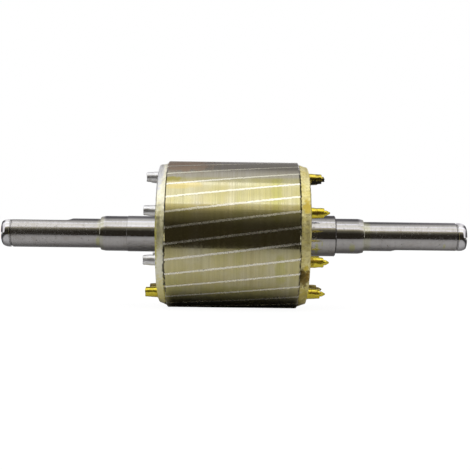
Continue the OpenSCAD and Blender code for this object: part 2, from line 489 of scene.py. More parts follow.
@dataclass(frozen=True)
class SteelFinish:
    """Turned and ground steel: bright, with fine rings, a scuffed neck, varnish drips at the steps, painted shade
    along its top and painted shade lines at some steps.

    A roughness step has a start, an end and the roughness after it. A drip has a middle, a reach
    and a share, and a painted shade ring has a place, a reach and a share.
    """

    name: str = "turned_steel"
    steel: Colour = (0.615, 0.595, 0.57)
    dull: Colour = (0.45, 0.435, 0.41)
    smudged: Colour = (0.44, 0.40, 0.35)
    spotted: Colour = (0.33, 0.32, 0.29)
    varnish: Colour = (0.56, 0.56, 0.24)
    # Dark tone of the scuffs on the neck, and of the painted shade rings at the steps.
    grime: Colour = (0.10, 0.09, 0.08)
    # Painted shade: darker tone laid over the top of the shaft.
    painted_top_shade: Colour = (0.145, 0.14, 0.142)
    polished: Colour = (0.80, 0.79, 0.78)
    neck_start: Span = (-0.0910, -0.0900)
    neck_end: Span = (-0.0560, -0.0570)
    nose_start: Span = (0.1900, 0.1908)
    tip_roughness: float = 0.21
    roughness_steps: tuple = (
        (-0.1750, -0.1200, 0.13),
        (-0.1144, -0.1136, 0.07),
        (-0.0914, -0.0906, 0.05),
        (0.0536, 0.0544, 0.17),
        (0.0650, 0.0790, 0.055),
        (0.0861, 0.0869, 0.05),
        (0.1101, 0.1109, 0.13),
    )
    drips: tuple = (
        ((-0.1135, 0.0, 0.0), (0.0040, 0.05, 0.05), 0.25),
        ((0.1125, 0.0, 0.0), (0.0045, 0.05, 0.05), 0.28),
        ((0.0700, -0.0140, -0.0110), (0.0020, 0.012, 0.0075), 0.85),
        ((0.0745, -0.0160, -0.0070), (0.0009, 0.008, 0.0030), 0.6),
        ((0.1005, -0.0115, -0.0105), (0.0035, 0.010, 0.0050), 0.7),
        ((0.1790, -0.0100, -0.0080), (0.0014, 0.006, 0.0030), 0.6),
        ((-0.1160, -0.0110, -0.0075), (0.0022, 0.010, 0.0060), 0.6),
    )
    # Painted shade lines at the collar step and where the noses start.
    painted_shade_rings: tuple = ((0.0863, 0.0011, 0.75), (-0.1903, 0.0009, 0.6), (0.1903, 0.0009, 0.6))
    ring_reach: float = 0.05
    drip_grain: float = 420.0
    drip_ragged: float = 0.9

    def drip_and_shade_layers(self, sheet: MaterialSheet) -> list[tuple]:
        """Drips of varnish and painted shade rings as layers: mask, share and tone.

        Args:
            sheet: Sheet of the material.

        Returns:
            The layers, from the bottom up.
        """
        wide = self.ring_reach
        places = [(middle, reach, share, self.varnish) for middle, reach, share in self.drips]
        # Painted shade rings, in the grime tone.
        places += [((x, 0.0, 0.0), (reach, wide, wide), share, self.grime) for x, reach, share in self.painted_shade_rings]
        return [
            (sheet.ragged_patch(middle, reach, self.drip_grain, self.drip_ragged), share, tone)
            for middle, reach, share, tone in places
        ]

    def material(self, effects: Effects) -> Material:
        """Material of the shaft.

        `facing` is height over distance from the axis: 1 on top, -1 below. The neck is polished
        above and scuffed below, and the top of the shaft is darkened with painted shade.

        Args:
            effects: The shared effects.

        Returns:
            The material.
        """
        sheet = MaterialSheet(self.name, effects)
        facing = sheet.maths("DIVIDE", sheet.height, sheet.from_axis())
        fine = sheet.streaks(lines=2600.0, sway=14.0)
        broad = sheet.streaks(lines=420.0, sway=40.0)
        scratches = sheet.streaks(lines=110.0, sway=1300.0)
        smudges = sheet.patches(grain=120.0, low=0.5, high=0.72)
        spots = sheet.patches(grain=380.0, low=0.54, high=0.70)
        neck = sheet.maths(
            "MULTIPLY", sheet.ease(sheet.along, *self.neck_start), sheet.ease(sheet.along, *self.neck_end)
        )
        nose = sheet.ease(sheet.maths("ABSOLUTE", sheet.along), *self.nose_start)
        scuffed = sheet.maths("MULTIPLY", scratches, sheet.ease(facing, -0.85, -0.30, floor=0.75, top=0.2))
        shiny = sheet.ease(facing, -0.50, -0.20, top=0.45)
        # Painted shade over the top of the shaft, weaker on the neck.
        top_shade_mask = sheet.ease(facing, 0.68, 0.93, top=0.92)
        off_neck = sheet.ease(neck, 0.0, 1.0, floor=1.0, top=0.7)
        colour = sheet.layered(
            self.steel,
            (fine, 0.35, self.dull),
            (broad, 0.25, self.dull),
            (smudges, 0.5, self.smudged),
            (spots, 0.45, self.spotted),
            (neck, scuffed, self.grime),
            (neck, shiny, self.polished),
            (top_shade_mask, off_neck, self.painted_top_shade),
            (nose, 0.8, self.polished),
            *self.drip_and_shade_layers(sheet),
        )
        roughness = sheet.stepped(sheet.along, self.tip_roughness, self.roughness_steps)
        roughness = sheet.raised(roughness, (fine, 0.05), (spots, 0.15))
        roughness = sheet.maths("MULTIPLY", roughness, sheet.raised(1.0, (nose, -0.75)))
        normal = sheet.relief(fine, strength=0.08, depth=0.00004)
        return sheet.close(Base_Color=colour, Metallic=1.0, Roughness=roughness, Normal=normal)


@dataclass(frozen=True)
class LaminationFinish:
    """Ground stack of steel sheets under thin yellow varnish, with rust near one end and a painted grey reflection
    along the top.

    A run of varnish has a middle, a reach and a share; the tint, the pool and the rust have a middle, a reach,
    a grain and how ragged they are.
    """

    name: str = "varnished_laminations"
    varnish: Colour = (0.70, 0.62, 0.31)
    pale: Colour = (0.80, 0.76, 0.58)
    green: Colour = (0.60, 0.57, 0.19)
    orange: Colour = (0.80, 0.63, 0.20)
    # Greyer tone that the top of the core takes: a painted grey reflection.
    bare: Colour = (0.60, 0.565, 0.51)
    line: Colour = (0.36, 0.32, 0.16)
    rust: Colour = (0.40, 0.29, 0.20)
    pooled: Colour = (0.52, 0.45, 0.06)
    grime: Colour = (0.05, 0.043, 0.025)
    face: Colour = (0.36, 0.335, 0.28)
    face_dark: Colour = (0.24, 0.215, 0.15)
    roughness: float = 0.09
    face_roughness: float = 0.34
    rim_start: Span = (0.0560, 0.0580)
    # Height where the painted grey reflection begins on top of the core.
    painted_grey_top: Span = (0.0450, 0.0482)
    left_joint: Span = (-0.0550, -0.0558)
    right_seam: Span = (0.0527, 0.0531)
    runs: tuple = (
        ((0.0345, -0.045, 0.030), (0.0060, 0.03, 0.034), 0.85),
        ((0.0375, -0.055, -0.028), (0.0060, 0.03, 0.020), 0.7),
        ((0.0030, -0.060, 0.000), (0.0050, 0.03, 0.050), 0.3),
        ((-0.0500, -0.040, -0.043), (0.0100, 0.03, 0.020), 0.6),
        ((0.0000, -0.038, -0.050), (0.0450, 0.03, 0.011), 0.55),
    )
    run_grain: float = 170.0
    run_ragged: float = 1.2
    tint_place: tuple = ((-0.0440, -0.047, 0.0405), (0.022, 0.02, 0.0050), 130.0, 0.9)
    pool_place: tuple = ((-0.0510, -0.042, 0.0453), (0.011, 0.03, 0.0026), 260.0, 1.5)
    rust_place: tuple = ((-0.0420, -0.020, 0.0585), (0.034, 0.05, 0.0100), 240.0, 1.5)

    def material(self, effects: Effects) -> Material:
        """Material of the core.

        Args:
            effects: The shared effects.

        Returns:
            The material.
        """
        sheet = MaterialSheet(self.name, effects)
        sheets = sheet.streaks(lines=1500.0, sway=6.0)
        fine = sheet.streaks(lines=430.0, sway=12.0)
        bands = sheet.streaks(lines=150.0, sway=9.0)
        wide = sheet.streaks(lines=48.0, sway=14.0)
        clouds = sheet.patches(grain=38.0, low=0.42, high=0.66)
        specks = sheet.patches(grain=700.0, low=0.62, high=0.74)
        broken = sheet.patches(grain=300.0, low=0.47, high=0.56)
        worn = sheet.patches(grain=260.0, low=0.38, high=0.54)
        mottled = sheet.patches(grain=150.0, low=0.38, high=0.66)
        rust = sheet.ragged_patch(*self.rust_place)
        runs = [
            (sheet.ragged_patch(middle, reach, self.run_grain, self.run_ragged), share, self.green)
            for middle, reach, share in self.runs
        ]
        colour = sheet.layered(
            self.varnish,
            (clouds, 0.6, self.pale),
            (bands, 0.25, self.pale),
            (wide, 0.45, self.green),
            *runs,
            # Painted grey reflection over the top of the core.
            (sheet.ease(sheet.height, *self.painted_grey_top), 0.85, self.bare),
            (fine, 0.20, self.line),
            (sheets, 0.25, self.line),
            (specks, 0.3, self.line),
            (sheet.ragged_patch(*self.tint_place), 0.5, self.orange),
            (sheet.ragged_patch(*self.pool_place), 0.7, self.pooled),
            (rust, 0.9, self.rust),
            (sheet.ease(sheet.along, *self.left_joint), broken, self.grime),
            (sheet.ease(sheet.along, *self.right_seam, top=0.85), worn, self.grime),
        )
        rim = sheet.ease(sheet.from_axis(), *self.rim_start)
        colour = sheet.blend(rim, sheet.blend(mottled, self.face, self.face_dark), colour)
        roughness = sheet.raised(self.roughness, (sheets, 0.10), (rust, 0.3))
        roughness = sheet.ease(rim, 0.0, 1.0, self.face_roughness, roughness)
        normal = sheet.relief(sheets, strength=0.1, depth=0.00006)
        return sheet.close(Base_Color=colour, Metallic=1.0, Roughness=roughness, Normal=normal)


@dataclass(frozen=True)
class CastFinish:
    """Cast aluminium, bare or varnished: mottled, pitted, powdery below, with grime and worn places.

    Each listed mark has a middle, a reach, a tone, a share and a grain; most are real marks on the metal, and a
    few are painted shade and painted reflection.
    """

    name: str
    metal: Colour
    patch: Colour
    grime: Colour
    roughness: float
    grain: float = 700.0
    patch_grain: float = 260.0
    patch_share: float = 0.5
    relief_depth: float = 0.00016
    pit_share: float = 0.35
    speckle_share: float = 0.0
    metallic: float = 1.0
    powder: float = 0.0
    powder_top: Span = (-0.006, -0.018)
    powder_bottom: Span = (-0.054, -0.040)
    stain_ragged: float = 2.0
    stain_roughness: float = 0.2
    stains_and_painted_light: tuple = ()

    def material(self, effects: Effects) -> Material:
        """Material of a casting.

        Args:
            effects: The shared effects.

        Returns:
            The material.
        """
        sheet = MaterialSheet(self.name, effects)
        skin, pits = (
            sheet.effect(effects.cast_skin, output, At=sheet.at, Grain=self.grain) for output in ("Height", "Pits")
        )
        clouds = sheet.patches(grain=self.patch_grain, low=0.4, high=0.68)
        speckle = sheet.patches(grain=560.0, low=0.48, high=0.64)
        colour = sheet.layered(
            self.metal,
            (clouds, self.patch_share, self.patch),
            (pits, self.pit_share, self.grime),
            (speckle, self.speckle_share, self.grime),
        )
        roughness = sheet.raised(self.roughness, (clouds, 0.1))
        for middle, reach, tone, share, grain in self.stains_and_painted_light:
            mask = sheet.maths("MULTIPLY", sheet.ragged_patch(middle, reach, grain, self.stain_ragged), share)
            colour = sheet.blend(mask, colour, tone)
            roughness = sheet.raised(roughness, (mask, self.stain_roughness))
        metallic: Given = self.metallic
        if self.powder:
            ends = [sheet.ease(sheet.height, *span) for span in (self.powder_top, self.powder_bottom)]
            metallic = sheet.raised(metallic, (sheet.maths("MULTIPLY", *ends), -self.powder))
        normal = sheet.relief(skin, strength=0.5, depth=self.relief_depth)
        return sheet.close(Base_Color=colour, Metallic=metallic, Roughness=roughness, Normal=normal)


# ---------------------------------------------------------------- rotor


@dataclass(frozen=True)
class Keyway:
    """Keyway of one shaft end: closed by a half circle near the seat and open at the tip."""

    side: Side
    seat: float
    half_width: float
    depth: float = 5 * MM
    gap: float = 24 * MM

    def places(self) -> Array:
        """Places along its closed end, evenly spaced round the half circle, and one on its open run."""
        turn = np.linspace(0, np.pi / 2, 14)
        centre = self.gap + self.half_width
        bend = centre - self.half_width * np.cos(turn)
        run = np.concatenate([[self.gap - 2 * MM, self.gap], bend, [centre + 20 * MM]])
        return self.seat + self.side.value * run

    def width(self, x: Array) -> Array:
        """Half width w of the cut at x: sqrt(w^2 - d^2) in the half circle, then w; none beyond it."""
        past = (x - self.seat) * self.side.value - self.gap
        bend = np.clip(self.half_width - past, 0, self.half_width)
        return np.where(past >= 0, np.sqrt(self.half_width**2 - bend**2), 0.0)


@dataclass
class RotorShaft:
    """Turned shaft with its seats, keyways, grooves and turning centres."""

    half_length: float = 198.5 * MM
    end_radius: float = 12.5 * MM
    centre_hole: tuple = ((10.9, 0), (10.0, 1.5), (4.33, 1.5), (0.12, 3.93), (0, 4.1))
    nose: Span = (6 * MM, 3 * MM)
    groove: tuple[float, float, float] = (8.2 * MM, 1.6 * MM, 0.8 * MM)
    groove_lip: float = 0.15 * MM
    seat_radius: float = 15 * MM
    top_key: Keyway = Keyway(Side.LEFT, seat=-114 * MM, half_width=6 * MM)
    low_key: Keyway = Keyway(Side.RIGHT, seat=110.5 * MM, half_width=5 * MM)
    arc_points: int = 80

    def end_profile(self) -> Array:
        """Profile of a plain end from its centre hole to the inner side of the circlip groove.

        The nose is a quarter ellipse; distances run inwards from the tip.

        Returns:
            Distance from the tip and radius of each point.
        """
        turn = np.linspace(0, np.pi / 2, 13)
        length, depth = self.nose
        place, width, floor = self.groove
        hole = np.array(self.centre_hole) * MM
        nose = np.stack([length * (1 - np.cos(turn)), self.end_radius - depth * (1 - np.sin(turn))], -1)
        low, high, bottom = place - width / 2, place + width / 2, self.end_radius - floor
        lip, rim = self.groove_lip, self.end_radius - self.groove_lip
        groove = np.array([
            (low - lip, self.end_radius), (low, rim), (low, bottom),
            (high, bottom), (high, rim), (high + lip, self.end_radius),
        ])
        return np.concatenate([hole, nose, groove])

    def middle_profile(self) -> Array:
        """Profile of the seats, neck, core seat and collar, with every edge a little eased.

        Each row holds a corner's place and radius and how far it is eased, in millimetres.

        Returns:
            Place and radius of each point.
        """
        end, seat = self.end_radius / MM, self.seat_radius / MM
        lead_in = seat - 0.8
        steps = np.array([
            (-118, end, 0), (-114, end, 0.5), (-114, lead_in, 0.3), (-110, seat, 1.2),
            (-91, seat, 0.12), (-90.9, 15.3, 0.12), (-58.2, 15.3, 0.1), (-58.2, 16.2, 0.1),
            (-57.4, 17.0, 0.1), (53.8, 17.0, 0.1), (53.85, 17.5, 0.1), (85.9, 17.5, 0.25),
            (86.5, 16.9, 0.25), (86.5, seat, 0.3), (106.5, seat, 1.2),
            (110.5, lead_in, 0.3), (110.5, end, 0.5), (114.5, end, 0),
        ]) * MM
        return eased_corners(steps[:, :2], steps[:, 2])

    def outline(self) -> tuple[Array, Array, Array]:
        """Profile of the whole shaft, and where a keyway is cut at each of its points.

        Returns:
            Place and radius along the profile, and whether the keyway is cut there.
        """
        end = self.end_profile()
        left = np.stack([end[:, 0] - self.half_length, end[:, 1]], -1)
        right = np.stack([self.half_length - end[::-1, 0], end[::-1, 1]], -1)
        near, far = self.top_key.places()[::-1], self.low_key.places()
        runs = [np.stack([run, np.full_like(run, self.end_radius)], -1) for run in (near, far)]
        profile = np.concatenate([left, runs[0], self.middle_profile(), runs[1], right])
        cut = np.zeros(len(profile), bool)
        hole = len(self.centre_hole)
        cut[hole:len(left) + len(near) - 2] = True
        cut[len(profile) - len(right) - len(far) + 2:len(profile) - hole] = True
        return profile[:, 0], profile[:, 1], cut

    def notch(self, radius: Array, width: Array, floor: Array, up: int) -> Array:
        """One keyway in each section: a wall down, the floor across, and a wall up.

        Args:
            radius: Radius of each section.
            width: Half width of the keyway there.
            floor: Height of its floor above the axis.
            up: 1 for a keyway in the top and -1 for one in the bottom.

        Returns:
            Offsets across and up of the points of each section.
        """
        wall, across = np.linspace(0, 1, 5), np.linspace(-1, 1, 7)[1:-1]
        top = np.sqrt(radius**2 - width**2)
        down = top + (floor - top) * wall
        z = np.concatenate([down, np.repeat(floor, len(across), 1), down[:, ::-1]], 1)
        side = np.repeat(width, len(wall), 1)
        y = np.concatenate([-side, width * across, side], 1)
        return np.stack([up * y, up * z], -1)

    def build(self, finish: Material) -> None:
        """Builds the shaft as sections carried along its axis.

        Each section is the front arc, the top keyway, the back arc and the bottom keyway. Where
        no keyway is cut its points fall together on the circle.

        Args:
            finish: Material of the shaft.
        """
        x, radius, cut = self.outline()
        x, radius = x[:, None], radius[:, None]
        at_top, at_low = cut[:, None] & (x < 0), cut[:, None] & (x > 0)
        top = np.where(at_top, self.top_key.width(x), 0.0)
        low = np.where(at_low, self.low_key.width(x), 0.0)
        top_floor = np.where(at_top, self.end_radius - self.top_key.depth, radius)
        low_floor = np.where(at_low, self.end_radius - self.low_key.depth, radius)
        safe = np.maximum(radius, MERGE)
        top_edge, low_edge = (np.arcsin(np.minimum(width / safe, 1)) for width in (top, low))
        t = np.linspace(0, 1, self.arc_points)[None, 1:-1]
        sweep = (np.pi - low_edge - top_edge) * t
        front, back = (
            np.stack([-radius * np.cos(a), radius * np.sin(a)], -1)
            for a in (-np.pi / 2 + low_edge + sweep, np.pi / 2 + top_edge + sweep)
        )
        notches = self.notch(radius, top, top_floor, 1), self.notch(radius, low, low_floor, -1)
        sections = np.concatenate([front, notches[0], back, notches[1]], 1)
        points = np.concatenate([np.broadcast_to(x[..., None], (*sections.shape[:2], 1)), sections], -1)
        add_piece("turned_shaft", points, finish, "shaft", crease=24.0)


@dataclass
class Cage:
    """Skewed bars that are cast into the slots of the core and turned flush with it."""

    core_radius: float = 62.5 * MM
    core_length: float = 110.0 * MM
    core_middle: float = -1.2 * MM
    chamfer: float = 0.8 * MM
    count: int = 30
    skew: float = np.radians(13.5)
    start: float = np.radians(-0.6)
    mouth: float = 1.7 * MM
    mouth_depth: float = 1.2 * MM
    head: float = 3.0 * MM
    foot: float = 1.5 * MM
    depth: float = 20.5 * MM
    proud: float = 0.05 * MM
    wander: float = 0.10 * MM
    finest_wander: int = 240
    steps: int = 140

    def section(self) -> Array:
        """Depth and offset of one bar's outline: crowned mouth, round head, taper and round foot."""
        lift = np.arcsin(self.mouth / 2 / self.head)
        head_depth = self.mouth_depth + self.head * np.cos(lift)
        head = np.linspace(lift, np.pi / 2, 5)
        foot = np.linspace(np.pi / 2, np.pi, 4)
        side = np.concatenate([
            [(0.0, self.mouth / 2)],
            np.stack([head_depth - self.head * np.cos(head), self.head * np.sin(head)], -1),
            np.stack([self.depth - self.foot - self.foot * np.cos(foot), self.foot * np.sin(foot)], -1),
        ])
        crown = np.stack([np.zeros(3), self.mouth * np.array([-0.25, 0.0, 0.25])], -1)
        return np.concatenate([crown, side, side[-2::-1] * (1, -1)])

    def build(self, finish: Material) -> None:
        """Builds every bar as its section carried along the skewed path.

        At x the section stands at start + pitch + skew (x - middle) / length. The two edges of
        the mouth wander a little, and the top follows the chamfers of the core. At both ends the
        section shrinks to a point, which closes the bar.

        Args:
            finish: Material of the bars.
        """
        section = self.section()
        shown = section[:, 0] < MM * 0.01
        half = self.core_length / 2
        along = np.linspace(-half, half, self.steps)
        along = np.concatenate([along[:1], along, along[-1:]])
        turn, level = along / self.core_radius, np.zeros_like(along)
        inset = np.minimum(0, half - np.abs(along) - self.chamfer)
        share = np.ones_like(along)[:, None]
        share[[0, -1]] = 0
        for number in range(1, self.count + 1):
            seed = 900 + 3 * number
            left, right, both = (
                mottle(turn, level, self.finest_wander, seed + k)[:, None] * self.wander for k in range(3)
            )
            edge = np.where(section[None, :, 1] > 0, left, -right)
            offset = section[None, :, 1] + np.where(shown, edge + both * 0.6, 0)
            crown = self.proud * (1 + 0.12 * both / self.wander)
            depth = section[None, :, 0] - np.where(shown, crown + inset[:, None], 0)
            radius = self.core_radius - self.depth / 2 - (depth - self.depth / 2) * share
            angle = self.start + (number - 1) * TURN / self.count + self.skew * along / self.core_length
            turned = angle[:, None] + offset * share / radius
            points = about_shaft(self.core_middle + along[:, None], radius, turned)
            add_piece(f"cast_bar_{number:02d}", points, finish, f"rotor_bar_{number:02d}")


@dataclass
class EndRing:
    """Cast ring that closes the bars at one end of the core."""

    side: Side
    face: float
    thickness: float
    outer: float = 60.9 * MM
    bore: float = 39.0 * MM
    draft: float = 1.2 * MM
    outer_edge: float = 4.0 * MM
    broad_waves: float = 0.10 * MM
    fine_grain: float = 0.05 * MM
    gap_depth: float = 0.5 * MM
    worn_corner: float = 1.1 * MM
    worn_top: float = 0.9 * MM
    torn_depth: float = 1.2 * MM
    around: int = 480
    across: int = 96

    def profile(self) -> Array:
        """Distance from the core and radius round the ring's section, with its edges rounded."""
        t, d = self.thickness, self.draft
        corners = np.array([
            (t / 2, self.bore + d / 2), (0, self.bore), (0, self.outer), (t - self.outer_edge, self.outer - d),
            (t, self.outer - d - 0.2 * MM), (t, self.bore + d), (t / 2, self.bore + d / 2),
        ])
        reach = np.array([0, 0.1, 0.15, 0.3, 4.0, 2.4, 0]) * MM
        return even_steps(eased_corners(corners, reach, steps=9), self.across + 1)[:-1]

    def swell(self, distance: Array, radius: Array, angle: Array) -> Array:
        """How far the skin of the casting stands out from its plain section.

        Broad waves and fine grain everywhere, a broken gap along the edge of the core, and an outer
        edge that is rounder at the bottom. The right ring is rounder at the top too, and torn low
        on its front.

        Args:
            distance: Distance from the core.
            radius: Radius of the plain section.
            angle: Angle above the front.

        Returns:
            Height along the outward normal of the section.
        """
        along = distance / self.outer
        seed = 40 + self.side.value
        broad = mottle(angle, along, finest=9, seed=seed)
        fine = mottle(angle, along, finest=70, seed=seed + 10)
        rim = bell(distance, middle=0.0, width=0.5 * MM) * (radius > self.outer - 3 * MM)
        gap = np.clip(0.15 + 0.9 * mottle(angle, along * 0.2, finest=120, seed=seed + 20), 0, 1.8)
        corner = bell(distance, middle=self.thickness, width=4 * MM) * (radius > self.outer - 7 * MM)
        worn = bell(angle, middle=np.radians(-85), width=np.radians(38))
        height = self.broad_waves * broad + self.fine_grain * fine
        height = height - self.gap_depth * rim * gap - self.worn_corner * corner * worn
        if self.side is Side.RIGHT:
            top = bell(angle, middle=np.radians(90), width=np.radians(35))
            height = height - self.worn_top * corner * top
            torn = bell(angle, middle=np.radians(-33), width=np.radians(9)) * (radius > self.outer - 5 * MM)
            torn = torn * bell(distance, middle=2.0 * MM, width=5.0 * MM)
            ragged = np.clip(0.9 + 0.5 * mottle(angle, along, finest=90, seed=77), 0, 2)
            height = height - self.torn_depth * torn * ragged
        return height

    def build(self, name: str, node: str, finish: Material, slot: Slot) -> None:
        """Builds the ring as its section turned about the shaft, with the casting's unevenness.

        Args:
            name: Name of the piece.
            node: Solid that it stands for.
            finish: Its material.
            slot: Material slot of the record; not used.
        """
        section = self.profile()
        run = np.roll(section, -1, 0) - np.roll(section, 1, 0)
        normal = np.stack([run[:, 1], -run[:, 0]], -1) / np.linalg.norm(run, axis=1, keepdims=True)
        angle = np.linspace(0, TURN, self.around, endpoint=False)[None, :]
        signed = (angle + np.pi) % TURN - np.pi
        distance, radius = section[:, :1], section[:, 1:]
        height = self.swell(distance, radius, signed)
        distance = np.maximum(distance - height * normal[:, :1], 0)
        radius = radius - height * normal[:, 1:]
        points = about_shaft(self.face + self.side.value * distance, radius, angle)
        add_piece(name, points, finish, node, crease=50.0, closed_rows=True)


@dataclass
class BalancePegs:
    """Pegs on the face of a ring.

    Those on the right end in a narrow pointed tip. `broken` names the peg whose tip is broken off
    and how much of the tip is left.
    """

    side: Side
    root: float
    length: float
    start: float
    tip: bool
    broken: tuple[int, float] = (-1, 0.0)
    circle: float = 52.1 * MM
    radius: float = 4.4 * MM
    taper: float = 0.4 * MM
    tip_radius: float = 2.2 * MM
    tip_length: float = 4.6 * MM
    sunk: float = 0.6 * MM
    dent: float = 0.018
    unevenness: float = 0.012
    ragged: float = 0.10 * MM
    count: int = 8
    around: int = 48

    def profile(self) -> Array:
        """Height above the ring and radius of a peg, from its root to the middle of its end.

        Each row holds a corner's height and radius and how far it is eased.

        Returns:
            Height and radius of each point.
        """
        end, tip = self.length, self.length + self.tip_length
        steps = [
            (-self.sunk, 0, 0),
            (-self.sunk, self.radius + 0.7 * MM, 0),
            (0.25 * MM, self.radius + 0.15 * MM, 0.5 * MM),
            (end, self.radius - self.taper, 0.5 * MM),
        ]
        if self.tip:
            steps += [
                (end + 0.05 * MM, self.tip_radius, 0.25 * MM),
                (end + 1.8 * MM, self.tip_radius, 0.3 * MM),
                (tip, 0.6 * MM, 0.3 * MM),
                (tip, 0, 0),
            ]
        else:
            steps += [(end - 0.15 * MM, 0, 0)]
        rows = np.array(steps)
        return even_steps(eased_corners(rows[:, :2], rows[:, 2]), count=60)

    def build(self, name: str, node: str, finishes: list[Material], slot: Slot) -> None:
        """Builds each peg as its profile turned about its own axis, dented and slightly askew.

        Args:
            name: Start of the pieces' names.
            node: Solid that they stand for.
            finishes: Material of each peg, from the first one above the front.
            slot: Material slot of the record; not used.
        """
        height, radius = self.profile().T[:, :, None]
        turn = np.linspace(0, TURN, self.around, endpoint=False)[None, :]
        grown = np.maximum(height, 0)
        for k, finish in enumerate(finishes):
            seed = 20 * self.side.value + k
            rng = np.random.default_rng(300 + seed)
            dented = radius * (1 + self.dent * mottle(turn, height / self.radius, finest=5, seed=500 + seed))
            lean = rng.normal(0, self.unevenness, 2)
            out = height * (1 + rng.normal(0, self.unevenness))
            ragged = self.ragged * mottle(turn, radius / self.radius, finest=4, seed=600 + seed)
            out = out + ragged * np.clip(height / self.length, 0, 1) ** 6
            if k == self.broken[0]:
                out = np.minimum(out, self.length + self.broken[1] + 4 * ragged)
            up = self.circle + dented * np.cos(turn) + lean[0] * grown
            wide = dented * np.sin(turn) + lean[1] * grown
            angle = self.start + k * TURN / self.count
            points = np.stack([
                np.broadcast_to(self.root + self.side.value * out, up.shape),
                -(up * np.cos(angle) - wide * np.sin(angle)),
                up * np.sin(angle) + wide * np.cos(angle),
            ], -1)
            add_piece(f"{name}_{k + 1}", points, finish, node, crease=40.0)


# ---------------------------------------------------------------- studio


